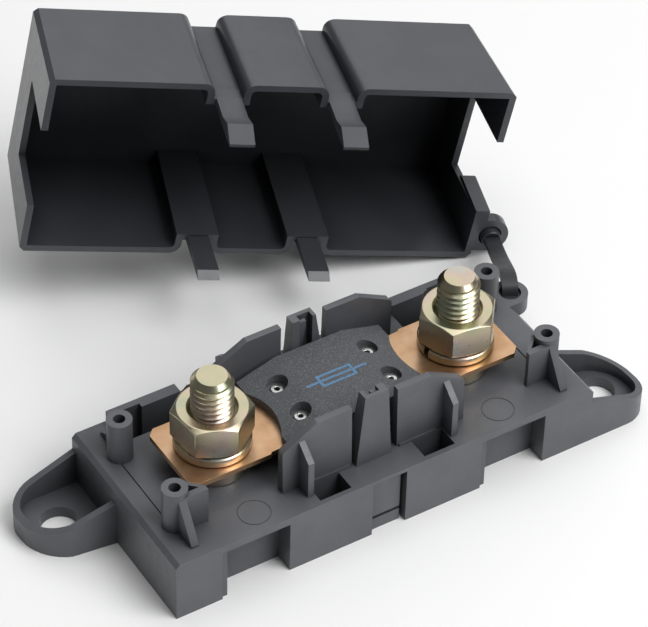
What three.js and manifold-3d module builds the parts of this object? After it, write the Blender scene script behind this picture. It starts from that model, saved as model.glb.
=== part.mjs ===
// Bolt-down fuse holder with one high-current strip fuse and a tethered clip-on cover.
// Millimetres, Z up. X runs along the base, -Y is its front, and the base stands on Z = 0 about the origin.
import * as THREE from "three";
import { mergeVertices } from "three/addons/utils/BufferGeometryUtils.js";
import Module from "manifold-3d";

const wasm = await Module();
wasm.setup();

// ---------- driving dimensions ----------
const STUD_PITCH = 50.8; // between the two terminal studs
const THREAD_R = 3.9; // M8 thread, just under its nominal radius
const BASE_L = 86.8;
const BASE_W = 37.3;
const DECK_Z = 13.1; // flat top of the base
const WALL = 1.3; // moulded wall of the cradle and of the cover
const BLADE_Z = 17.25; // underside of the copper
const BLADE_T = 1.05;
const RUN_GAP = 0.08; // running clearance between pieces that turn
const TOUCH = 0.05; // hairline gap between pieces that rest on each other

const halfL = BASE_L / 2;
const halfW = BASE_W / 2;
const studX = STUD_PITCH / 2;
const bladeTop = BLADE_Z + BLADE_T;

// ---------- solids ----------
// A closed three.js geometry as a solid that can be joined and cut.
function solid(geometry) {
  const bare = geometry.index ? geometry.toNonIndexed() : geometry.clone();
  bare.deleteAttribute("normal");
  bare.deleteAttribute("uv");
  const merged = mergeVertices(bare, 1e-4);
  return new wasm.Manifold(
    new wasm.Mesh({
      numProp: 3,
      vertProperties: merged.attributes.position.array,
      triVerts: new Uint32Array(merged.index.array),
    }),
  );
}

function geometryOf(body) {
  const mesh = body.getMesh();
  const positions = new Float32Array(mesh.numVert * 3);
  for (let i = 0; i < mesh.numVert; i++) {
    const start = i * mesh.numProp;
    positions.set(mesh.vertProperties.subarray(start, start + 3), i * 3);
  }
  const geometry = new THREE.BufferGeometry();
  geometry.setAttribute("position", new THREE.BufferAttribute(positions, 3));
  geometry.setIndex(new THREE.BufferAttribute(new Uint32Array(mesh.triVerts), 1));
  geometry.computeVertexNormals();
  return geometry;
}

function joined(parts) {
  return parts.reduce((whole, part) => whole.add(part));
}

function cutBy(whole, cutters) {
  return cutters.reduce((left, cutter) => left.subtract(cutter), whole);
}

// A box given by its limits on each axis.
function block(x0, x1, y0, y1, z0, z1) {
  const geometry = new THREE.BoxGeometry(x1 - x0, y1 - y0, z1 - z0);
  geometry.translate((x0 + x1) / 2, (y0 + y1) / 2, (z0 + z1) / 2);
  return solid(geometry);
}

// An upright cylinder.
function post(x, y, z0, z1, r, sides = 32) {
  const geometry = new THREE.CylinderGeometry(r, r, z1 - z0, sides);
  geometry.rotateX(Math.PI / 2);
  geometry.translate(x, y, (z0 + z1) / 2);
  return solid(geometry);
}

function flatShape(points) {
  return new THREE.Shape(points.map(([a, b]) => new THREE.Vector2(a, b)));
}

function extrusion(shape, depth) {
  return new THREE.ExtrudeGeometry(shape, { depth, bevelEnabled: false, curveSegments: 8 });
}

// A plate whose outline lies in XY, between two heights.
function plateXY(points, z0, z1) {
  const geometry = extrusion(flatShape(points), z1 - z0);
  geometry.translate(0, 0, z0);
  return solid(geometry);
}

// A plate whose outline lies in XZ, between two values of Y.
function plateXZ(points, y0, y1) {
  const geometry = extrusion(flatShape(points), y1 - y0);
  geometry.rotateX(Math.PI / 2);
  geometry.translate(0, y1, 0);
  return solid(geometry);
}

// A plate whose outline lies in YZ, between two values of X.
function plateYZ(points, x0, x1) {
  const geometry = extrusion(flatShape(points), x1 - x0);
  geometry.rotateX(Math.PI / 2);
  geometry.rotateZ(Math.PI / 2);
  geometry.translate(x0, 0, 0);
  return solid(geometry);
}

// A turned piece about the Z axis from a closed profile of [radius, height] points.
function turned(profile, x = 0, y = 0, sides = 48) {
  const closed = [...profile, profile[0]].map(([r, z]) => new THREE.Vector2(r, z));
  const geometry = new THREE.LatheGeometry(closed, sides);
  geometry.rotateX(Math.PI / 2);
  geometry.translate(x, y, 0);
  const body = solid(geometry);
  return body.volume() > 0 ? body : solid(flipped(geometry));
}

function flipped(geometry) {
  const bare = geometry.toNonIndexed();
  const p = bare.attributes.position.array;
  for (let i = 0; i < p.length; i += 9) {
    for (let k = 0; k < 3; k++) {
      [p[i + 3 + k], p[i + 6 + k]] = [p[i + 6 + k], p[i + 3 + k]];
    }
  }
  return bare;
}

// The outline moved inwards by a distance, its corners kept; the points run anticlockwise.
function inset(points, distance) {
  const n = points.length;
  return points.map((point, i) => {
    const before = points[(i + n - 1) % n];
    const after = points[(i + 1) % n];
    const a = inwardNormal(before, point);
    const b = inwardNormal(point, after);
    const scale = distance / (1 + a[0] * b[0] + a[1] * b[1]);
    return [point[0] + (a[0] + b[0]) * scale, point[1] + (a[1] + b[1]) * scale];
  });
}

function inwardNormal(from, to) {
  const length = Math.hypot(to[0] - from[0], to[1] - from[1]);
  return [-(to[1] - from[1]) / length, (to[0] - from[0]) / length];
}

function turnedHalfWay(points) {
  return points.map(([x, y]) => [-x, -y]);
}

// Points of an arc about a centre, from one angle to another in degrees.
function arc(cx, cy, r, from, to, steps = 6) {
  const points = [];
  for (let i = 0; i <= steps; i++) {
    const angle = ((from + ((to - from) * i) / steps) * Math.PI) / 180;
    points.push([cx + r * Math.cos(angle), cy + r * Math.sin(angle)]);
  }
  return points;
}

// ---------- base housing ----------
const LOBE = { x: 45.0, y: 10.8, r: 3.4, hole: 2.1, z: 9.9 }; // eye for the tether
const EAR_HOLE = { x: 50.8, y: -10.3, r: 3.5 };
const POST = { x: 38.5, y: 9.75, r: 2.35, hole: 1.1, top: 22 };
const CRADLE = { inner: 11.3, outer: 12.6, foot: 13.05, top: 26.5 };
const TOWER = { top: 27.5, foot: 13.9 };
const LATCH_X = 10.8; // the four cover latches stand this far either side of the middle
const FEET_CUT = { from: 20.6, to: 33.0, depth: 3.9, frontTop: 11.4, backTop: 3.6 };
const LIP_Z = 12.3; // the front face is recessed only below this height
const ROOT = DECK_Z - 0.5; // upright features start inside the deck

// The right-hand mounting ear; the left-hand one is the same, turned half way round.
function ear() {
  const floor = 2.4;
  const rimAtBase = 9.7;
  const rimAtTip = 4.0;
  const tip = 57.8;
  const outline = [
    [halfL - WALL, -halfW],
    ...arc(tip - 5.6, -halfW + 5.6, 5.6, -90, 0, 8),
    ...arc(tip - 9.5, -12.3, 9.5, 12, 68, 8),
    [halfL - WALL, -2.3],
  ];
  const rim = plateXY(outline, 0, rimAtBase);
  const hollow = plateXY(inset(outline, WALL), floor, rimAtBase + 1);
  const above = plateXZ(
    [
      [halfL, rimAtBase],
      [tip + 1, rimAtTip],
      [tip + 1, rimAtBase + 1],
      [halfL, rimAtBase + 1],
    ],
    -halfW - 1,
    0,
  );
  const hole = post(EAR_HOLE.x, EAR_HOLE.y, -1, floor + 1, EAR_HOLE.r, 40);
  return { body: cutBy(rim, [hollow, above]), hole };
}

function halfTurn(body) {
  return body.rotate([0, 0, 180]);
}

// Ribbed underside: shallow moulding pockets between the stud bosses.
function undersidePockets() {
  const roof = 9.5;
  const pockets = [];
  for (const side of [-1, 1]) {
    for (const row of [-1, 1]) {
      const y = row * 11.4;
      for (const x of [11.9, 39.0]) {
        const half = x > 30 ? 2.8 : 4.2;
        const deep = x > 30 ? 3.8 : 1.8;
        pockets.push(block(side * x - half, side * x + half, y - deep, y + deep, -1, roof));
      }
      pockets.push(block(side * 6.6 - 3, side * 6.6 + 3, row * 4.6 - 3.2, row * 4.6 + 3.2, -1, roof));
    }
  }
  return pockets;
}

// Front side of the cradle that holds the fuse: two drafted walls, their ribs and the latch tower.
// The back side is the same, turned half way round.
function cradleSide() {
  const parts = [];
  const draft = plateYZ(
    [
      [-CRADLE.foot, ROOT],
      [-CRADLE.inner, ROOT],
      [-CRADLE.inner, CRADLE.top],
      [-CRADLE.outer, CRADLE.top],
    ],
    -20,
    20,
  );
  for (const end of [-1, 1]) {
    const wall = [
      [end * 4.7, ROOT],
      [end * 18.8, ROOT],
      [end * 18.8, 22.2],
      [end * 18.4, 22.8],
      [end * 11.7, CRADLE.top],
      [end * 4.7, CRADLE.top],
    ];
    parts.push(plateXZ(end > 0 ? wall : wall.reverse(), -CRADLE.foot, -CRADLE.inner).intersect(draft));
    const rib = [
      [-16, ROOT],
      [-12, ROOT],
      [-12, 23.8],
      [-12.7, 23.8],
      [-16, 21.0],
    ];
    parts.push(plateYZ(rib, end * 14.9 - 0.6, end * 14.9 + 0.6));
    parts.push(block(end * 9 - 3.9, end * 9 + 3.9, -CRADLE.foot - 0.35, -CRADLE.outer, ROOT, DECK_Z + 0.5));
  }
  parts.push(latchTower());
  return joined(parts);
}

// A hollow tower with a leaning tongue in its channel; its front face slopes out to the deck.
function latchTower() {
  const face = plateXZ(
    [
      [-4.3, ROOT],
      [3.0, ROOT],
      [2.8, TOWER.top],
      [-2.0, TOWER.top],
    ],
    -TOWER.foot - 1,
    -10.4,
  );
  const slope = plateYZ(
    [
      [-TOWER.foot, ROOT],
      [-10.4, ROOT],
      [-10.4, TOWER.top],
      [-CRADLE.outer, TOWER.top],
    ],
    -5,
    4,
  );
  const channel = block(-1.3, 1.3, -11.8, -10, DECK_Z + 1, TOWER.top + 1);
  const tongue = plateYZ(
    [
      [-12.2, 18],
      [-10.5, 25.6],
      [-10.5, 26.9],
      [-11.2, 26.9],
      [-12.2, 23],
    ],
    0,
    1.5,
  );
  return face.intersect(slope).subtract(channel).add(tongue);
}

// The four tapped corner posts with the plates, webs, gussets and fins beside them.
function cornerPosts() {
  const parts = [];
  for (const end of [-1, 1]) {
    for (const side of [-1, 1]) {
      parts.push(post(end * POST.x, side * POST.y, ROOT, POST.top, POST.r));
    }
    const web = [
      [33.2, -12.1],
      [POST.x, -12.1],
      [POST.x, -10.9],
      [34.4, -10.9],
      [37.1, -8.3],
      [36.5, -7.8],
      [33.2, -11.2],
    ].map(([x, y]) => [end * x, y]);
    parts.push(plateXY(end > 0 ? web : web.reverse(), ROOT, 21));
    const gusset = [
      [-16.4, ROOT],
      [-11.2, ROOT],
      [-11.2, 20.6],
      [-12.1, 20.6],
      [-16.4, DECK_Z + 0.4],
    ];
    parts.push(plateYZ(gusset, end * 38.3 - 0.75, end * 38.3 + 0.75));
    const backFin = [
      [POST.y, ROOT],
      [16.3, ROOT],
      [16.3, DECK_Z + 0.3],
      [POST.y + 2, 16.4],
      [POST.y, 16.4],
    ];
    parts.push(plateYZ(backFin, end * POST.x - 0.4, end * POST.x + 0.4));
  }
  return joined(parts);
}

function postHoles() {
  const holes = [];
  for (const end of [-1, 1]) {
    for (const side of [-1, 1]) {
      holes.push(post(end * POST.x, side * POST.y, POST.top - 7, POST.top + 1, POST.hole, 20));
    }
  }
  return holes;
}

// The deck's slab, its end edges chamfered.
function slab() {
  const edge = 0.8;
  const outline = [
    [-halfL, 0],
    [halfL, 0],
    [halfL, DECK_Z - edge],
    [halfL - edge, DECK_Z],
    [-halfL + edge, DECK_Z],
    [-halfL, DECK_Z - edge],
  ];
  return plateXZ(outline, -halfW, halfW);
}

// Low walls at the back edge, each behind its pair of pockets.
function backWall(end) {
  const top = 15.5;
  const thin = { from: 22.5, to: 36.5, inside: 17.35 };
  const thick = { from: 22.5, to: 30.4, inside: 16.4 };
  return joined(
    [thin, thick].map(({ from, to, inside }) => {
      const [x0, x1] = end > 0 ? [from, to] : [-to, -from];
      return block(x0, x1, inside, halfW, DECK_Z - 1, top);
    }),
  );
}

// The two stepped pockets in the deck at the back, beside each stud.
function backPockets(end) {
  const deep = { from: 30.4, to: 36, y0: 12.3, y1: 17.35, floor: 5 };
  const shallow = { from: 22.5, to: 30.5, y0: 12.6, y1: 16.4, floor: 7 };
  return [deep, shallow].map(({ from, to, y0, y1, floor }) => {
    const [x0, x1] = end > 0 ? [from, to] : [-to, -from];
    return block(x0, x1, y0, y1, floor, DECK_Z + 3);
  });
}

// Recesses in the front face: the panel and groove in the middle, and a stepped edge by each foot.
function frontRecesses() {
  const front = -halfW;
  const stepped = [-FEET_CUT.to, FEET_CUT.from];
  return [
    block(-3.6, 2.71, front - 1, front + 1, -1, LIP_Z),
    block(2.7, 3.4, front - 1, front + 2.2, -1, LIP_Z),
    block(-3.6, 2.71, front - 1, front + 1.9, 2.6, 3.3),
    ...stepped.map((x) => block(x - 1.2, x + 0.1, front - 1, front + 0.5, -1, FEET_CUT.frontTop)),
  ];
}

// Fine ring that an ejector pin leaves in the deck, in front of each stud.
function ejectorMarks() {
  const depth = 0.1;
  const outer = 3.05;
  const inner = 2.83;
  return [-studX, studX].map((x) => {
    const disc = post(x, -14.3, DECK_Z - depth, DECK_Z + 1, outer, 40);
    return disc.subtract(post(x, -14.3, DECK_Z - 1, DECK_Z + 2, inner, 40));
  });
}

function baseHousing() {
  const rightEar = ear();
  const body = joined([
    slab(),
    rightEar.body,
    halfTurn(rightEar.body),
    backWall(-1),
    backWall(1),
    block(halfL - 2, LOBE.x, LOBE.y - LOBE.r, LOBE.y + LOBE.r, LOBE.z, DECK_Z),
    post(LOBE.x, LOBE.y, LOBE.z, DECK_Z, LOBE.r, 36),
    cradleSide(),
    halfTurn(cradleSide()),
    cornerPosts(),
  ]);
  const line = 0.13; // half the width of the fine grooves across the deck
  const cutters = [
    rightEar.hole,
    halfTurn(rightEar.hole),
    post(LOBE.x, LOBE.y, LOBE.z - 1, DECK_Z + 1, LOBE.hole, 32),
    post(LOBE.x, LOBE.y, LOBE.z - 3, LOBE.z, LOBE.hole + 0.55, 32),
    ...postHoles(),
    ...undersidePockets(),
    ...frontRecesses(),
    ...ejectorMarks(),
    block(-39.4 - line, -39.4 + line, -9, 7.6, DECK_Z - 0.25, DECK_Z + 1),
    block(37.4 - line, 37.4 + line, -7.4, 7.6, DECK_Z - 0.25, DECK_Z + 1),
    ...backPockets(-1),
    ...backPockets(1),
  ];
  for (const end of [-1, 1]) {
    const x0 = end > 0 ? FEET_CUT.from : -FEET_CUT.to;
    const x1 = end > 0 ? FEET_CUT.to : -FEET_CUT.from;
    cutters.push(block(x0, x1, -halfW - 1, -halfW + FEET_CUT.depth, -1, FEET_CUT.frontTop));
    cutters.push(block(x0, x1, halfW - FEET_CUT.depth, halfW + 1, -1, FEET_CUT.backTop));
    cutters.push(post(end * studX, 0, 4.8, DECK_Z + 1, 4.6, 40));
    for (const side of [-1, 1]) {
      const slotY0 = side < 0 ? -17.7 : 13.4;
      const slotY1 = side < 0 ? -13.4 : 17.7;
      cutters.push(block(end * LATCH_X - 3.2, end * LATCH_X + 3.2, slotY0, slotY1, 1.5, DECK_Z + 1));
    }
  }
  return cutBy(body, cutters);
}

// ---------- terminal hardware ----------
const NUT = { across: 13, bottom: bladeTop + 2 + 2 * TOUCH, height: 6.45 };
const STUD_TOP = 34.1;
const NUT_TURN = { left: 37, right: 51 }; // degrees from +X to one corner
const SPLIT_TURN = { left: 60, right: -173 };

// Insert-moulded stud: knurled root in the base, a round seat under the copper, then the thread.
function stud(x) {
  const seatR = 6.3;
  return turned(
    [
      [0, 5],
      [4.5, 5],
      [4.5, DECK_Z + TOUCH],
      [seatR, DECK_Z + TOUCH],
      [seatR, BLADE_Z - TOUCH - 0.4],
      [seatR - 0.4, BLADE_Z - TOUCH],
      [THREAD_R, BLADE_Z - TOUCH],
      [THREAD_R, STUD_TOP - 1.4],
      [THREAD_R - 1.1, STUD_TOP],
      [0, STUD_TOP],
    ],
    x,
  );
}

function hexNut(x, turn) {
  const cornerR = NUT.across / Math.sqrt(3);
  const prism = new THREE.CylinderGeometry(cornerR, cornerR, NUT.height, 6);
  prism.rotateX(Math.PI / 2);
  prism.rotateZ(((turn - 90) * Math.PI) / 180);
  prism.translate(0, 0, NUT.bottom + NUT.height / 2);
  const top = NUT.bottom + NUT.height;
  const crown = turned([
    [0, NUT.bottom - 1],
    [cornerR - 0.9 - 0.6, NUT.bottom - 1 + 0.6],
    [cornerR + 1, NUT.bottom + 1.2],
    [cornerR + 1, top - 1.2],
    [cornerR - 0.9, top],
    [0, top],
  ]);
  const bore = post(0, 0, NUT.bottom - 1, top + 1, THREAD_R + RUN_GAP, 40);
  return solid(prism).intersect(crown).subtract(bore).translate([x, 0, 0]);
}

function lockWasher(x, turn) {
  const outer = 7.05;
  const bottom = bladeTop + TOUCH;
  const ring = turned([
    [THREAD_R + 0.3, bottom],
    [outer, bottom],
    [outer, bottom + 2],
    [THREAD_R + 0.3, bottom + 2],
  ]);
  const slit = block(2, 9, -0.55, 0.55, bottom - 1, bottom + 3);
  return ring.subtract(slit.rotate([0, 0, turn])).translate([x, 0, 0]);
}

// ---------- fuse ----------
const BLADE = { end: 34.2, half: 8.0, shoulder: 18.2, root: 13, rootHalf: 7.4, corner: 1.3 };
const BODY = { end: 15, half: 9.6, top: 22, flat: 7, endTop: 19.6, bottom: 13.4, parting: 17.8 };
const BODY_HOLLOW_R = 12.1; // each end is hollowed about its stud
const RIVET = { xs: [-9.7, 9.1], ys: [-3.8, 4.2], pocket: 1.95, seat: 19.5, foot: 15.1 };
const ELEMENT_HALF = 2.0;

// Half of the copper strip's outline, mirrored about both axes to make the whole.
function conductorOutline(grow = 0) {
  const quarter = [
    [BLADE.root - 0.5, ELEMENT_HALF + grow],
    [BLADE.root, BLADE.rootHalf - 2 + grow],
    [BLADE.root + 0.8, BLADE.rootHalf + grow],
    [BLADE.shoulder - 0.3, BLADE.rootHalf + 0.2 + grow],
    [BLADE.shoulder, BLADE.half + grow],
    [BLADE.end - BLADE.corner, BLADE.half + grow],
    [BLADE.end, BLADE.half - BLADE.corner],
  ];
  const upperRight = quarter.slice().reverse();
  return [
    ...quarter.map(([x, y]) => [x, -y]),
    ...upperRight,
    ...quarter.map(([x, y]) => [-x, y]),
    ...upperRight.map(([x, y]) => [-x, -y]),
  ];
}

function fuseConductor() {
  const strip = plateXY(conductorOutline(), BLADE_Z, bladeTop);
  const holes = [-studX, studX].map((x) => post(x, 0, BLADE_Z - 1, bladeTop + 1, 4.3, 40));
  return cutBy(strip, holes);
}

function conductorPocket() {
  return plateXY(conductorOutline(0.1), BLADE_Z - TOUCH, bladeTop + TOUCH);
}

function rivetPlaces() {
  return RIVET.xs.flatMap((x) => RIVET.ys.map((y) => [x, y]));
}

function fuseBodyUpper() {
  const low = BODY.parting + TOUCH / 2;
  const outline = [
    [-BODY.end, low],
    [BODY.end, low],
    [BODY.end, BODY.endTop],
    [BODY.flat, BODY.top],
    [-BODY.flat, BODY.top],
    [-BODY.end, BODY.endTop],
  ];
  const cutters = [conductorPocket(), ...bodyHollows()];
  for (const [x, y] of rivetPlaces()) {
    cutters.push(post(x, y, RIVET.seat, BODY.top + 1, RIVET.pocket, 28));
    cutters.push(post(x, y, low - 1, BODY.top, 0.98, 20));
  }
  return cutBy(plateXZ(outline, -BODY.half, BODY.half), cutters);
}

// Each end of the body stands clear of its stud's nut and washer.
function bodyHollows() {
  return [-studX, studX].map((x) => post(x, 0, BODY.bottom - 1, BODY.top + 1, BODY_HOLLOW_R, 72));
}

function fuseBodyLower() {
  const high = BODY.parting - TOUCH / 2;
  const cutters = [conductorPocket(), ...bodyHollows()];
  for (const [x, y] of rivetPlaces()) {
    cutters.push(post(x, y, BODY.bottom - 1, RIVET.foot, RIVET.pocket, 28));
    cutters.push(post(x, y, BODY.bottom, high + 1, 0.98, 20));
  }
  return cutBy(block(-BODY.end, BODY.end, -BODY.half, BODY.half, BODY.bottom, high), cutters);
}

// Tubular rivet: a flanged eyelet seated in a pocket above and spread over below.
function fuseRivet([x, y]) {
  const bore = 0.5;
  const shank = 0.92;
  const head = 1.3;
  const rise = 0.4;
  return turned(
    [
      [bore, RIVET.foot - TOUCH - rise],
      [head, RIVET.foot - TOUCH - rise],
      [head, RIVET.foot - TOUCH],
      [shank, RIVET.foot - TOUCH],
      [shank, RIVET.seat + TOUCH],
      [head, RIVET.seat + TOUCH],
      [head - 0.15, RIVET.seat + TOUCH + rise],
      [bore, RIVET.seat + TOUCH + rise],
    ],
    x,
    y,
    20,
  );
}

// ---------- cover, modelled with its rim on Z = 0 and its roof at Z = depth ----------
const COVER = { length: 89.4, width: 39.6, depth: 25.3, roofLength: 86.6, roofWidth: 35.2 };
const CHANNEL = { inner: 8.1, outer: 13.7, floor: 16.6 }; // recess that each latch tab grows from
const RING = { x: 47.6, y: 14.4, r: 3.7, hole: 2.3, thick: 2.4 };
const COVER_POSE = { x: 14.69, y: 47.99, z: 28.16, yaw: -18.62, lean: -90.81, tip: 10.94 };

// The cover narrows from rim to roof.
function tapered(geometry) {
  const p = geometry.attributes.position;
  for (let i = 0; i < p.count; i++) {
    const share = p.getZ(i) / COVER.depth;
    p.setX(i, p.getX(i) * (1 - share * (1 - COVER.roofLength / COVER.length)));
    p.setY(i, p.getY(i) * (1 - share * (1 - COVER.roofWidth / COVER.width)));
  }
  return geometry;
}

function coverOutline() {
  const x = COVER.length / 2;
  const y = COVER.width / 2;
  const round = 2.2;
  const { inner, outer, floor } = CHANNEL;
  const quarter = [
    [x, -y + 0.9],
    [x - 0.9, -y],
    ...arc(outer + round, -y + round, round, -90, -180, 5),
    [outer, -floor],
    [inner, -floor],
    ...arc(inner - round, -y + round, round, 0, -90, 5),
  ];
  const front = [...quarter.map(([a, b]) => [-a, b]), ...quarter.slice().reverse()];
  return [...front, ...turnedHalfWay(front)];
}

function coverPrism(points, z0, z1) {
  const geometry = extrusion(flatShape(points), z1 - z0);
  geometry.translate(0, 0, z0);
  return solid(tapered(geometry));
}

// A latch tab growing from the channel at "end": a wedge hook on the one long wall, a plain blade on the other.
function latchTab(side, end) {
  const half = side < 0 ? 2.4 : 2.1;
  const hooked = [
    [15.3, 3],
    [15.1, -6],
    [15.1, -12.5],
    [15.7, -12.5],
    [17.5, -8.7],
    [16.6, -5.5],
    [16.6, 3],
  ];
  const plain = [
    [15.7, 3],
    [15.8, -9.8],
    [17, -11.4],
    [17, 3],
  ];
  const outline = (side < 0 ? hooked : plain).map(([y, z]) => [side * y, z]);
  const x = end * LATCH_X;
  return plateYZ(side < 0 ? outline.reverse() : outline, x - half, x + half);
}

function coverShell() {
  const outline = coverOutline();
  const shell = coverPrism(outline, 0, COVER.depth);
  const cavity = coverPrism(inset(outline, WALL), -1, COVER.depth - WALL);
  const end = COVER.length / 2;
  const exits = [block(-end - 1, -end + 5, -8.3, 9, -1, 15.5), block(end - 5, end + 1, -8.3, 9, -1, 15.5)];
  const armOut = 46.2;
  const arm = [[11.6, 0], [11.6, 12.2], ...arc(9.9, 10.7, 1.5, 90, 180, 5), [8.4, 0]];
  const body = joined([
    cutBy(shell, [cavity, ...exits]),
    latchTab(-1, -1),
    latchTab(-1, 1),
    latchTab(1, -1),
    latchTab(1, 1),
    plateYZ(arm, end - 1.35, armOut).subtract(cavity),
    block(end - 0.9, RING.x, 10.7, 18.1, 0, RING.thick),
    post(RING.x, RING.y, 0, RING.thick, RING.r, 36),
  ]);
  return body.subtract(post(RING.x, RING.y, -1, RING.thick + 0.01, RING.hole, 32));
}

// From the cover's own frame to where it lies, open side to the front, propped on one corner.
function coverMatrix() {
  const radians = (degrees) => (degrees * Math.PI) / 180;
  const zAxis = new THREE.Vector3(0, 0, 1);
  const turn = new THREE.Quaternion()
    .setFromAxisAngle(zAxis, radians(COVER_POSE.yaw))
    .multiply(new THREE.Quaternion().setFromAxisAngle(new THREE.Vector3(1, 0, 0), radians(COVER_POSE.lean)))
    .multiply(new THREE.Quaternion().setFromAxisAngle(zAxis, radians(COVER_POSE.tip)));
  const place = new THREE.Vector3(COVER_POSE.x, COVER_POSE.y, COVER_POSE.z);
  return new THREE.Matrix4().compose(place, turn, new THREE.Vector3(1, 1, 1));
}

// ---------- tether ----------
// A strap with a push-in button at each end: one down through the base's eye, one through the cover's ring.
function tetherStrap() {
  const barb = 0.45;
  const pinR = LOBE.hole - 0.1;
  const lower = turned(
    [
      [0, LOBE.z - 1.6],
      [pinR - 0.6, LOBE.z - 1.6],
      [pinR + barb, LOBE.z - 0.5],
      [pinR + barb, LOBE.z - TOUCH],
      [pinR, LOBE.z - TOUCH],
      [pinR, DECK_Z - 0.6],
      [0, DECK_Z - 0.6],
    ],
    LOBE.x,
    LOBE.y,
    32,
  );
  const ringPin = RING.hole - 0.3;
  const face = -1.5;
  const upperGeometry = new THREE.LatheGeometry(
    [
      [0, RING.thick + 1.6],
      [0, face],
      [ringPin - 0.25, face],
      [ringPin, face + 0.25],
      [ringPin, RING.thick + TOUCH],
      [RING.hole + 0.35, RING.thick + TOUCH],
      [RING.hole + 0.35, RING.thick + 0.5],
      [ringPin - 0.6, RING.thick + 1.6],
      [0, RING.thick + 1.6],
    ].map(([r, z]) => new THREE.Vector2(r, z)),
    32,
  );
  upperGeometry.rotateX(Math.PI / 2);
  upperGeometry.translate(RING.x, RING.y, 0);
  upperGeometry.applyMatrix4(coverMatrix());
  const made = solid(upperGeometry);
  const upper = made.volume() > 0 ? made : solid(flipped(upperGeometry));
  return joined([lower, upper, strapBand(face)]);
}

// The band rises out of the eye over its rim and then runs straight to the ring's face.
function strapBand(face) {
  const start = new THREE.Vector3(LOBE.x, LOBE.y, DECK_Z - 0.9);
  const finish = new THREE.Vector3(RING.x, RING.y, face + 0.7).applyMatrix4(coverMatrix());
  const away = new THREE.Vector3(finish.x - start.x, finish.y - start.y, 0).normalize();
  const across = new THREE.Vector3(-away.y, away.x, 0);
  const near = (run, rise) => start.clone().addScaledVector(away, run).setZ(DECK_Z + rise);
  const over = near(3.4, 1.0);
  const middle = over.clone().lerp(finish, 0.5).add(new THREE.Vector3(0, 0, -0.3));
  const path = new THREE.CatmullRomCurve3([start, near(0.5, 0.5), near(1.6, 1.15), over, middle, finish]);
  return band(path, across, 1.5, 0.6, 30);
}

// A flat band along a path, its width kept along "across".
function band(path, across, halfWidth, halfThick, steps) {
  const corners = [
    [-1, -1],
    [1, -1],
    [1, 1],
    [-1, 1],
  ];
  const positions = [];
  const index = [];
  for (let i = 0; i <= steps; i++) {
    const centre = path.getPoint(i / steps);
    const out = path.getTangent(i / steps).cross(across).normalize();
    for (const [a, b] of corners) {
      const corner = centre.clone();
      corner.addScaledVector(across, a * halfWidth);
      corner.addScaledVector(out, b * halfThick);
      positions.push(corner.x, corner.y, corner.z);
    }
  }
  for (let i = 0; i < steps; i++) {
    for (let k = 0; k < 4; k++) {
      const here = 4 * i + k;
      const next = 4 * i + ((k + 1) % 4);
      index.push(here, next, next + 4, here, next + 4, here + 4);
    }
  }
  const last = 4 * steps;
  index.push(0, 2, 1, 0, 3, 2, last, last + 1, last + 2, last, last + 2, last + 3);
  const geometry = new THREE.BufferGeometry();
  geometry.setAttribute("position", new THREE.BufferAttribute(new Float32Array(positions), 3));
  geometry.setIndex(index);
  return solid(geometry);
}

// ---------- assembly ----------
const LOOK = {
  base: { color: 0x55575b, roughness: 0.55, metalness: 0 },
  cover: { color: 0x4b4d51, roughness: 0.5, metalness: 0 },
  tether: { color: 0x2c2e31, roughness: 0.5, metalness: 0 },
  fuse: { color: 0x3b3d42, roughness: 0.7, metalness: 0 },
  zinc: { color: 0xc9c08f, roughness: 0.3, metalness: 1 },
  copper: { color: 0xc98a5a, roughness: 0.35, metalness: 1 },
  rivet: { color: 0xc8c8c8, roughness: 0.3, metalness: 1 },
};

const holder = new THREE.Group();

function place(name, look, body, matrix) {
  const mesh = new THREE.Mesh(geometryOf(body), new THREE.MeshStandardMaterial(LOOK[look]));
  mesh.name = name;
  if (matrix) {
    mesh.applyMatrix4(matrix);
  }
  holder.add(mesh);
}

place("base_housing", "base", baseHousing());
place("stud_left", "zinc", stud(-studX));
place("stud_right", "zinc", stud(studX));
place("lock_washer_left", "zinc", lockWasher(-studX, SPLIT_TURN.left));
place("lock_washer_right", "zinc", lockWasher(studX, SPLIT_TURN.right));
place("nut_left", "zinc", hexNut(-studX, NUT_TURN.left));
place("nut_right", "zinc", hexNut(studX, NUT_TURN.right));
place("fuse_conductor", "copper", fuseConductor());
place("fuse_body_upper", "fuse", fuseBodyUpper());
place("fuse_body_lower", "fuse", fuseBodyLower());
rivetPlaces().forEach((spot, i) => place(`fuse_rivet_${i + 1}`, "rivet", fuseRivet(spot)));
place("cover_shell", "cover", coverShell(), coverMatrix());
place("tether_strap", "tether", tetherStrap());

export default holder;
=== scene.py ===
"""Looks of the bolt-down fuse holder: pieces, materials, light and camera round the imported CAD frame."""
import math

import bmesh
import bpy
from mathutils import Matrix, Vector


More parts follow.
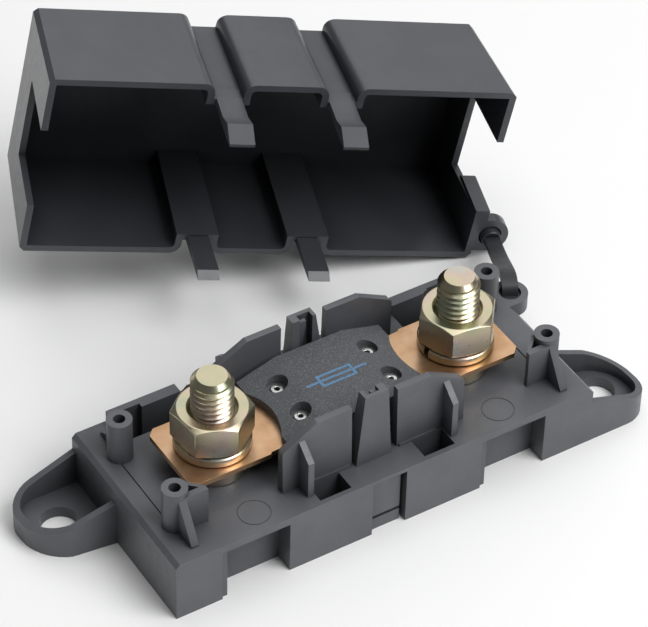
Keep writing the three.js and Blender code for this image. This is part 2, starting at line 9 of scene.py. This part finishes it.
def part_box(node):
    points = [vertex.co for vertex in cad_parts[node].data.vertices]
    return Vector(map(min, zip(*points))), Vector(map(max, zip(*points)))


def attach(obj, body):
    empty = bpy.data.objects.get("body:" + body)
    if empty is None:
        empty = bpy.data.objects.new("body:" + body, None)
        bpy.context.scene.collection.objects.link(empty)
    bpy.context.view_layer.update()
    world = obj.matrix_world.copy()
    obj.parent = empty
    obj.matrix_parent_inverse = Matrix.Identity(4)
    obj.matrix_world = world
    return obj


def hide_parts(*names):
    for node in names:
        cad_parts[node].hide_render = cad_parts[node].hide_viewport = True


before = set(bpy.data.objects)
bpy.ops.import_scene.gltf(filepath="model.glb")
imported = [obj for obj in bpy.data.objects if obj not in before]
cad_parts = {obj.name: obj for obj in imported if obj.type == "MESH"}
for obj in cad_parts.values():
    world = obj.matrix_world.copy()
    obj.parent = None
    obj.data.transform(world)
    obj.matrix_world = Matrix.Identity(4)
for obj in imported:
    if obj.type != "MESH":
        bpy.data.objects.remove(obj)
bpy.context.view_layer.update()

# ---------- driving dimensions, in metres ----------
MM = 0.001
STUD_X = 25.4 * MM
PITCH = 1.25 * MM  # M8 coarse thread
THREAD_ROOT = 3.34 * MM  # radius at the bottom of the thread
THREAD_CREST = 3.88 * MM
THREAD_TIP = 2.75 * MM  # radius of the flat on the stud's end
NUT_APOTHEM = 6.5 * MM  # half the width across flats
NUT_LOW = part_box("nut_left")[0][2]
NUT_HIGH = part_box("nut_left")[1][2]
FUSE_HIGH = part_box("fuse_body_upper")[1]
RIVETS = 4


# ---------- material building blocks ----------
def new_material(name):
    material = bpy.data.materials.new(name)
    material.use_nodes = True
    tree = material.node_tree
    shader = tree.nodes["Principled BSDF"]
    return material, tree, shader


def coordinates(tree, scale=(1, 1, 1)):
    """Object coordinates in millimetres, stretched by scale."""
    source = tree.nodes.new("ShaderNodeTexCoord")
    mapping = tree.nodes.new("ShaderNodeMapping")
    mapping.inputs["Scale"].default_value = [1000 * s for s in scale]
    tree.links.new(source.outputs["Object"], mapping.inputs["Vector"])
    return mapping.outputs["Vector"]


def noise(tree, vector, scale, detail=2.0, rough=0.5):
    node = tree.nodes.new("ShaderNodeTexNoise")
    node.inputs["Scale"].default_value = scale
    node.inputs["Detail"].default_value = detail
    node.inputs["Roughness"].default_value = rough
    tree.links.new(vector, node.inputs["Vector"])
    return node.outputs["Fac"]


def ramp(tree, value, stops):
    """A colour ramp whose stops are (position, (r, g, b))."""
    node = tree.nodes.new("ShaderNodeValToRGB")
    elements = node.color_ramp.elements
    while len(elements) < len(stops):
        elements.new(0.5)
    for element, (position, colour) in zip(elements, stops):
        element.position = position
        element.color = (*colour, 1)
    tree.links.new(value, node.inputs["Fac"])
    return node.outputs["Color"]


def spread(tree, value, low, high):
    """value, from 0.3 to 0.7 as a noise gives it, moved to the range low to high."""
    node = tree.nodes.new("ShaderNodeMapRange")
    node.inputs["From Min"].default_value = 0.3
    node.inputs["From Max"].default_value = 0.7
    node.inputs["To Min"].default_value = low
    node.inputs["To Max"].default_value = high
    tree.links.new(value, node.inputs["Value"])
    return node.outputs["Result"]


def bump(tree, shader, heights):
    """Stacks bumps on the shader; heights are (value, distance in metres, strength)."""
    last = None
    for value, distance, strength in heights:
        node = tree.nodes.new("ShaderNodeBump")
        node.inputs["Distance"].default_value = distance
        node.inputs["Strength"].default_value = strength
        tree.links.new(value, node.inputs["Height"])
        if last:
            tree.links.new(last, node.inputs["Normal"])
        last = node.outputs["Normal"]
    tree.links.new(last, shader.inputs["Normal"])


def painted_hollow_shade(tree, reach, closed, least):
    """Painted shade: 1 on an open face, falling to least where the share of open sky within reach is down
    to closed; multiplied into colour and specular, it darkens hollows.
    """
    node = tree.nodes.new("ShaderNodeAmbientOcclusion")
    node.samples = 8
    node.only_local = True
    node.inputs["Distance"].default_value = reach
    curve = tree.nodes.new("ShaderNodeMapRange")
    curve.inputs["From Min"].default_value = closed
    curve.inputs["To Min"].default_value = least
    tree.links.new(node.outputs["AO"], curve.inputs["Value"])
    return curve.outputs["Result"]


def scaled_colour(tree, colour, factor):
    node = tree.nodes.new("ShaderNodeVectorMath")
    node.operation = "SCALE"
    tree.links.new(colour, node.inputs[0])
    tree.links.new(factor, node.inputs["Scale"])
    return node.outputs["Vector"]


def scaled_value(tree, value, level):
    node = tree.nodes.new("ShaderNodeMath")
    node.operation = "MULTIPLY"
    node.inputs[1].default_value = level
    tree.links.new(value, node.inputs[0])
    return node.outputs["Value"]


def moulded_plastic(name, dark, light, rough, grain, specular, shade_in_hollows):
    """Faint flow marks between two colours, and a grain; the last argument, passed to the occlusion
    factor, sets the painted shade that darkens colour and specular in hollows.
    """
    material, tree, shader = new_material(name)
    vector = coordinates(tree)
    flow = noise(tree, vector, 0.11, 3.0)
    fine = noise(tree, vector, 3.1, 2.0)
    finer = noise(tree, vector, 9.0, 1.0)
    colour = ramp(tree, flow, [(0.35, dark), (0.65, light)])
    # Painted shade: an occlusion factor darkens the base colour and the specular level in creases and
    # hollows.
    shade_factor = painted_hollow_shade(tree, *shade_in_hollows)
    tree.links.new(scaled_colour(tree, colour, shade_factor), shader.inputs["Base Color"])
    tree.links.new(spread(tree, noise(tree, vector, 0.6, 4.0), *rough), shader.inputs["Roughness"])
    tree.links.new(scaled_value(tree, shade_factor, specular), shader.inputs["Specular IOR Level"])
    bump(tree, shader, [(fine, 0.05 * MM * grain, 0.6), (finer, 0.02 * MM * grain, 0.5)])
    return material


def base_plastic():
    """Glass-filled moulding with a satin grain."""
    return moulded_plastic(
        "base_plastic",
        dark=(0.092, 0.096, 0.106),
        light=(0.108, 0.112, 0.123),
        rough=(0.36, 0.46),
        grain=0.8,
        specular=0.50,
        # painted shade in hollows within 10 mm, down to half brightness
        shade_in_hollows=(10 * MM, 0.2, 0.5),
    )


def cover_plastic():
    """Smoother and darker than the base; painted shade makes it deep black inside the cover."""
    return moulded_plastic(
        "cover_plastic",
        dark=(0.056, 0.060, 0.068),
        light=(0.064, 0.068, 0.077),
        rough=(0.30, 0.36),
        grain=0.25,
        specular=0.50,
        # painted shade in hollows within 45 mm, down to 0.15: the dark inside of the cover
        shade_in_hollows=(45 * MM, 0.1, 0.15),
    )


def tether_plastic():
    """Near-black flexible moulding."""
    return moulded_plastic(
        "tether_plastic",
        dark=(0.022, 0.024, 0.027),
        light=(0.030, 0.032, 0.036),
        rough=(0.36, 0.46),
        grain=0.4,
        specular=0.40,
        # painted shade in hollows within 10 mm, down to half brightness
        shade_in_hollows=(10 * MM, 0.2, 0.5),
    )


def fuse_plastic():
    """Mineral-filled thermoset: dark, rough, with pale flecks."""
    material, tree, shader = new_material("fuse_plastic")
    vector = coordinates(tree)
    flecks = noise(tree, vector, 4.2, 3.0, 0.65)
    colour = ramp(
        tree,
        flecks,
        [(0.30, (0.050, 0.053, 0.058)), (0.56, (0.085, 0.089, 0.097)), (0.70, (0.20, 0.205, 0.215))],
    )
    tree.links.new(colour, shader.inputs["Base Color"])
    tree.links.new(spread(tree, flecks, 0.55, 0.8), shader.inputs["Roughness"])
    bump(tree, shader, [(flecks, 0.12 * MM, 0.7)])
    return material


def copper():
    """Stamped copper alloy: satin, with faint dull patches."""
    material, tree, shader = new_material("fuse_copper")
    vector = coordinates(tree)
    fine = noise(tree, coordinates(tree, (0.5, 1.4, 1.4)), 2.2, 3.0, 0.55)
    stain = noise(tree, vector, 0.16, 3.0, 0.5)
    colour = ramp(
        tree,
        stain,
        [(0.32, (0.47, 0.28, 0.15)), (0.5, (0.59, 0.37, 0.22)), (0.68, (0.65, 0.45, 0.29))],
    )
    tree.links.new(colour, shader.inputs["Base Color"])
    shader.inputs["Metallic"].default_value = 1.0
    tree.links.new(spread(tree, fine, 0.30, 0.40), shader.inputs["Roughness"])
    bump(tree, shader, [(fine, 0.012 * MM, 0.25), (stain, 0.05 * MM, 0.2)])
    return material


def yellow_zinc():
    """Yellow-passivated zinc: straw, drifting to faint green and pink."""
    material, tree, shader = new_material("zinc_steel")
    vector = coordinates(tree)
    bands = noise(tree, vector, 0.16, 1.5, 0.4)
    grime = noise(tree, vector, 0.9, 3.0, 0.5)
    colour = ramp(
        tree,
        bands,
        [
            (0.30, (0.45, 0.47, 0.34)),
            (0.43, (0.55, 0.50, 0.34)),
            (0.53, (0.58, 0.50, 0.37)),
            (0.63, (0.57, 0.46, 0.39)),
            (0.72, (0.51, 0.50, 0.44)),
        ],
    )
    tree.links.new(colour, shader.inputs["Base Color"])
    shader.inputs["Metallic"].default_value = 1.0
    tree.links.new(spread(tree, grime, 0.27, 0.31), shader.inputs["Roughness"])
    bump(tree, shader, [(grime, 0.006 * MM, 0.1)])
    return material


def rivet_metal():
    """Bright plated rivets, a little scuffed."""
    material, tree, shader = new_material("rivet_metal")
    vector = coordinates(tree)
    scuff = noise(tree, vector, 2.5, 3.0)
    colour = ramp(tree, scuff, [(0.35, (0.48, 0.48, 0.48)), (0.65, (0.75, 0.75, 0.74))])
    tree.links.new(colour, shader.inputs["Base Color"])
    shader.inputs["Metallic"].default_value = 1.0
    tree.links.new(spread(tree, scuff, 0.2, 0.38), shader.inputs["Roughness"])
    bump(tree, shader, [(scuff, 0.03 * MM, 0.3)])
    return material


def blue_print():
    """Worn pale blue ink."""
    material, tree, shader = new_material("blue_print")
    vector = coordinates(tree)
    wear = noise(tree, vector, 2.4, 4.0, 0.7)
    colour = ramp(tree, wear, [(0.34, (0.05, 0.10, 0.17)), (0.50, (0.10, 0.22, 0.37))])
    tree.links.new(colour, shader.inputs["Base Color"])
    tree.links.new(spread(tree, wear, 0.5, 0.7), shader.inputs["Roughness"])
    bump(tree, shader, [(wear, 0.03 * MM, 0.4)])
    return material


MATERIALS = {
    "base_plastic": base_plastic(),
    "cover_plastic": cover_plastic(),
    "tether_plastic": tether_plastic(),
    "fuse_plastic": fuse_plastic(),
    "fuse_copper": copper(),
    "zinc_steel": yellow_zinc(),
    "rivet_metal": rivet_metal(),
    "blue_print": blue_print(),
}


# ---------- mesh building blocks ----------
def piece(name, bm, material, body, replaced=()):
    """A new object from bm, on a CAD body, standing for the named CAD nodes."""
    mesh = bpy.data.meshes.new(name)
    bmesh.ops.recalc_face_normals(bm, faces=bm.faces)
    bm.to_mesh(mesh)
    bm.free()
    mesh.materials.append(MATERIALS[material])
    obj = bpy.data.objects.new(name, mesh)
    bpy.context.scene.collection.objects.link(obj)
    if replaced:
        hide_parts(*replaced)
    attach(obj, body)
    return obj


def shade_by_angle(obj, degrees):
    """Smooth shading, with every edge sharper than this kept crisp."""
    bm = bmesh.new()
    bm.from_mesh(obj.data)
    limit = math.radians(degrees)
    for face in bm.faces:
        face.smooth = True
    for edge in bm.edges:
        edge.smooth = edge.calc_face_angle(0.0) < limit
    bm.to_mesh(obj.data)
    bm.free()


def bevelled(obj, width, segments=2, degrees=28):
    modifier = obj.modifiers.new("edge_rounding", "BEVEL")
    modifier.width = width
    modifier.segments = segments
    modifier.limit_method = "ANGLE"
    modifier.angle_limit = math.radians(degrees)
    modifier.use_clamp_overlap = True
    modifier.harden_normals = False
    return obj


def softened(node, material, body, width):
    """The CAD node's shape with its flat faces made whole and its edges rounded."""
    bm = bmesh.new()
    bm.from_mesh(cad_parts[node].data)
    bmesh.ops.remove_doubles(bm, verts=bm.verts, dist=0.002 * MM)
    bmesh.ops.dissolve_limit(bm, angle_limit=math.radians(1.0), verts=bm.verts, edges=bm.edges)
    obj = piece(node + "_finished", bm, material, body, [node])
    bevelled(obj, width)
    shade_by_angle(obj, 35)
    return obj


def ring_rows(bm, rows):
    """Joins closed rings of equally many points with quads."""
    made = [[bm.verts.new(p) for p in row] for row in rows]
    for low, high in zip(made, made[1:]):
        count = len(low)
        for i in range(count):
            bm.faces.new((low[i], low[(i + 1) % count], high[(i + 1) % count], high[i]))
    return made


# ---------- studs ----------
def thread_profile():
    """One pitch of the thread as (share of the pitch, radius)."""
    return [
        (0.0, THREAD_ROOT),
        (0.12, THREAD_ROOT),
        (0.44, THREAD_CREST),
        (0.56, THREAD_CREST),
        (0.88, THREAD_ROOT),
    ]


def threaded_rod(bm, x, low, top, columns=64):
    """A helical thread whose faces follow the helix, chamfered at its top."""
    profile = thread_profile()
    per_turn = len(profile)
    turns = math.ceil((top - low) / PITCH) + 2
    chamfer_slope = 0.9
    columns_made = []
    for i in range(columns):
        angle = 2 * math.pi * i / columns
        column = []
        for j in range(turns * per_turn + per_turn + 1):
            share, radius = profile[j % per_turn]
            z = low - PITCH + PITCH * (j // per_turn + share + i / columns)
            radius = min(radius, THREAD_TIP + max(0.0, top - z) * chamfer_slope)
            z = max(low, min(top, z))
            column.append(bm.verts.new((x + radius * math.cos(angle), radius * math.sin(angle), z)))
        columns_made.append(column)
    rows = turns * per_turn
    for i in range(columns):
        here = columns_made[i]
        wraps = i == columns - 1
        there = columns_made[0] if wraps else columns_made[i + 1]
        shift = per_turn if wraps else 0
        for j in range(rows):
            bm.faces.new((here[j], there[j + shift], there[j + shift + 1], here[j + 1]))
    bmesh.ops.remove_doubles(bm, verts=bm.verts, dist=0.003 * MM)
    bmesh.ops.dissolve_degenerate(bm, edges=bm.edges, dist=0.002 * MM)
    edges = [e for e in bm.edges if e.is_boundary]
    bmesh.ops.holes_fill(bm, edges=edges, sides=0)


def stud(side, x):
    """A threaded rod over the plain root and the round seat that the base holds."""
    name = "stud_" + side
    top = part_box(name)[1][2]
    seat_top = 17.2
    bm = bmesh.new()
    threaded_rod(bm, x, (seat_top - 0.4) * MM, top)
    around = 64
    outline = [
        (0.05, 5.0),
        (4.3, 5.0),
        (4.5, 5.2),
        (4.5, 13.15),
        (6.1, 13.15),
        (6.3, 13.35),
        (6.3, 16.7),
        (5.9, seat_top),
        (3.2, seat_top),
    ]
    rows = []
    for radius, z in outline:
        row = []
        for i in range(around):
            angle = 2 * math.pi * i / around
            row.append((x + radius * MM * math.cos(angle), radius * MM * math.sin(angle), z * MM))
        rows.append(row)
    made = ring_rows(bm, rows)
    bm.faces.new(made[0])
    bm.faces.new(made[-1])
    obj = piece(name + "_threaded", bm, "zinc_steel", "base", [name])
    shade_by_angle(obj, 38)
    return obj


# ---------- nuts ----------
def nut_outline(angle):
    """Distance from the axis to the hexagon at this angle from a corner."""
    local = (angle + math.pi) % (math.pi / 3) - math.pi / 6
    return NUT_APOTHEM / math.cos(local)


def nut(side, x, corner_degrees):
    """Hexagon nut with both chamfers and a countersunk mouth."""
    name = "nut_" + side
    flat_circle = NUT_APOTHEM - 0.25 * MM
    slope = math.tan(math.radians(27))
    bore = 3.98 * MM
    mouth = 4.55 * MM
    around = 120
    bm = bmesh.new()
    rows = [[] for _ in range(8)]
    turn = math.radians(corner_degrees)
    for i in range(around):
        angle = 2 * math.pi * i / around
        reach = nut_outline(angle)
        drop = max(0.0, reach - flat_circle) * slope
        column = [
            (bore, NUT_LOW + 0.6 * MM),
            (mouth, NUT_LOW),
            (flat_circle, NUT_LOW),
            (reach, NUT_LOW + drop),
            (reach, NUT_HIGH - drop),
            (flat_circle, NUT_HIGH),
            (mouth, NUT_HIGH),
            (bore, NUT_HIGH - 0.6 * MM),
        ]
        for row, (radius, z) in zip(rows, column):
            row.append((x + radius * math.cos(angle + turn), radius * math.sin(angle + turn), z))
    made = ring_rows(bm, rows)
    for i in range(around):
        j = (i + 1) % around
        bm.faces.new((made[-1][i], made[-1][j], made[0][j], made[0][i]))
    obj = piece(name + "_chamfered", bm, "zinc_steel", name, [name])
    bevelled(obj, 0.16 * MM, 3, 22)
    shade_by_angle(obj, 20)
    return obj


# ---------- lock washers ----------
def lock_washer(side, x, split_degrees):
    """A split ring of nearly square section, its two ends a little out of line."""
    name = "lock_washer_" + side
    low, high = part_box(name)
    inner, outer = 4.2 * MM, 7.0 * MM
    lift = 0.16 * MM
    height = high[2] - low[2] - lift
    half_gap = math.radians(5.0)
    steps = 96
    edge = 0.22 * MM
    section = [
        (inner, edge),
        (inner + edge, 0),
        (outer - edge, 0),
        (outer, edge),
        (outer, height - edge),
        (outer - edge, height),
        (inner + edge, height),
        (inner, height - edge),
    ]
    bm = bmesh.new()
    rows = []
    for i in range(steps + 1):
        share = i / steps
        angle = math.radians(split_degrees) + half_gap + share * 2 * (math.pi - half_gap)
        z0 = low[2] + lift * (1 - share)
        row = []
        for radius, z in section:
            row.append(bm.verts.new((x + radius * math.cos(angle), radius * math.sin(angle), z0 + z)))
        rows.append(row)
    count = len(section)
    for a, b in zip(rows, rows[1:]):
        for k in range(count):
            bm.faces.new((a[k], a[(k + 1) % count], b[(k + 1) % count], b[k]))
    bm.faces.new(rows[0])
    bm.faces.new(rows[-1])
    obj = piece(name + "_split", bm, "zinc_steel", "base", [name])
    shade_by_angle(obj, 30)
    return obj


# ---------- fuse ----------
def bar(bm, x0, x1, y0, y1, z0, z1):
    corners = [(x0, y0), (x1, y0), (x1, y1), (x0, y1)]
    made = ring_rows(bm, [[(x, y, z) for x, y in corners] for z in (z0, z1)])
    bm.faces.new(made[0])
    bm.faces.new(made[1])


def fuse_mark():
    """The plain drawing symbol of a fuse on the flat of the body: a box with a line through it."""
    low = FUSE_HIGH[2]
    high = low + 0.03 * MM
    half_line = 0.25 * MM
    long_half = 3.6 * MM
    high_half = 1.5 * MM
    lead_end = 6.2 * MM
    inner_x = long_half - 2 * half_line
    inner_y = high_half - 2 * half_line
    strips = [
        (-long_half, long_half, inner_y, high_half),
        (-long_half, long_half, -high_half, -inner_y),
        (-long_half, -inner_x, -inner_y, inner_y),
        (inner_x, long_half, -inner_y, inner_y),
        (-inner_x, inner_x, -half_line, half_line),
        (-lead_end, -long_half, -half_line, half_line),
        (long_half, lead_end, -half_line, half_line),
    ]
    bm = bmesh.new()
    for x0, x1, y0, y1 in strips:
        bar(bm, x0, x1, y0, y1, low, high)
    piece("fuse_mark", bm, "blue_print", "base")


# ---------- stage, light and camera ----------
def floor():
    bm = bmesh.new()
    half = 2.0
    corners = [(-half, -half), (half, -half), (half, half), (-half, half)]
    bm.faces.new([bm.verts.new((x, y, 0)) for x, y in corners])
    mesh = bpy.data.meshes.new("floor")
    bm.to_mesh(mesh)
    bm.free()
    material, tree, shader = new_material("floor_white")
    shader.inputs["Base Color"].default_value = (0.90, 0.90, 0.90, 1)
    shader.inputs["Roughness"].default_value = 0.9
    shader.inputs["Specular IOR Level"].default_value = 0.1
    mesh.materials.append(material)
    obj = bpy.data.objects.new("floor", mesh)
    bpy.context.scene.collection.objects.link(obj)


def soft_light(name, place, size, power, target=(0, 0.02, 0.015)):
    """A square soft box at place, turned to the object."""
    data = bpy.data.lights.new(name, "AREA")
    data.shape = "SQUARE"
    data.size = size
    data.energy = power
    obj = bpy.data.objects.new(name, data)
    obj.location = place
    toward = Vector(target) - Vector(place)
    obj.rotation_euler = toward.to_track_quat("-Z", "Y").to_euler()
    bpy.context.scene.collection.objects.link(obj)


def lights():
    soft_light("front_right", (0.38, -0.60, 0.84), 0.7, 9.5)
    soft_light("back_right", (0.50, 0.79, 0.85), 1.2, 4.8)
    soft_light("overhead", (0.05, 0.0, 1.1), 0.9, 4.0)
    world = bpy.data.worlds.new("studio")
    world.use_nodes = True
    world.node_tree.nodes["Background"].inputs["Color"].default_value = (1, 1, 1, 1)
    world.node_tree.nodes["Background"].inputs["Strength"].default_value = 0.12
    bpy.context.scene.world = world


def camera():
    azimuth = math.radians(-32.63)
    elevation = math.radians(42.18)
    roll = math.radians(1.53)
    distance = 570.7 * MM
    target = Vector((-0.624, 3.644, 34.188)) * MM
    back = Vector((
        math.sin(azimuth) * math.cos(elevation),
        -math.cos(azimuth) * math.cos(elevation),
        math.sin(elevation),
    ))
    level = Vector((0, 0, 1)).cross(back).normalized()
    upright = back.cross(level)
    right = level * math.cos(roll) + upright * math.sin(roll)
    up = upright * math.cos(roll) - level * math.sin(roll)
    data = bpy.data.cameras.new("photo_camera")
    data.sensor_width = 36
    data.lens = 181.0
    data.clip_start = 0.01
    obj = bpy.data.objects.new("photo_camera", data)
    rotation = Matrix((right, up, back)).transposed().to_4x4()
    obj.matrix_world = Matrix.Translation(target + back * distance) @ rotation
    bpy.context.scene.collection.objects.link(obj)
    bpy.context.scene.camera = obj


camera()
floor()
lights()
softened("base_housing", "base_plastic", "base", 0.22 * MM)
softened("cover_shell", "cover_plastic", "cover", 0.25 * MM)
softened("tether_strap", "tether_plastic", "tether", 0.15 * MM)
softened("fuse_body_upper", "fuse_plastic", "base", 0.25 * MM)
softened("fuse_body_lower", "fuse_plastic", "base", 0.25 * MM)
softened("fuse_conductor", "fuse_copper", "base", 0.12 * MM)
for i in range(RIVETS):
    softened("fuse_rivet_" + str(i + 1), "rivet_metal", "base", 0.08 * MM)
stud("left", -STUD_X)
stud("right", STUD_X)
nut("left", -STUD_X, 37)
nut("right", STUD_X, 51)
lock_washer("left", -STUD_X, 60)
lock_washer("right", STUD_X, -173)
fuse_mark()
bpy.context.scene.view_settings.view_transform = "Standard"
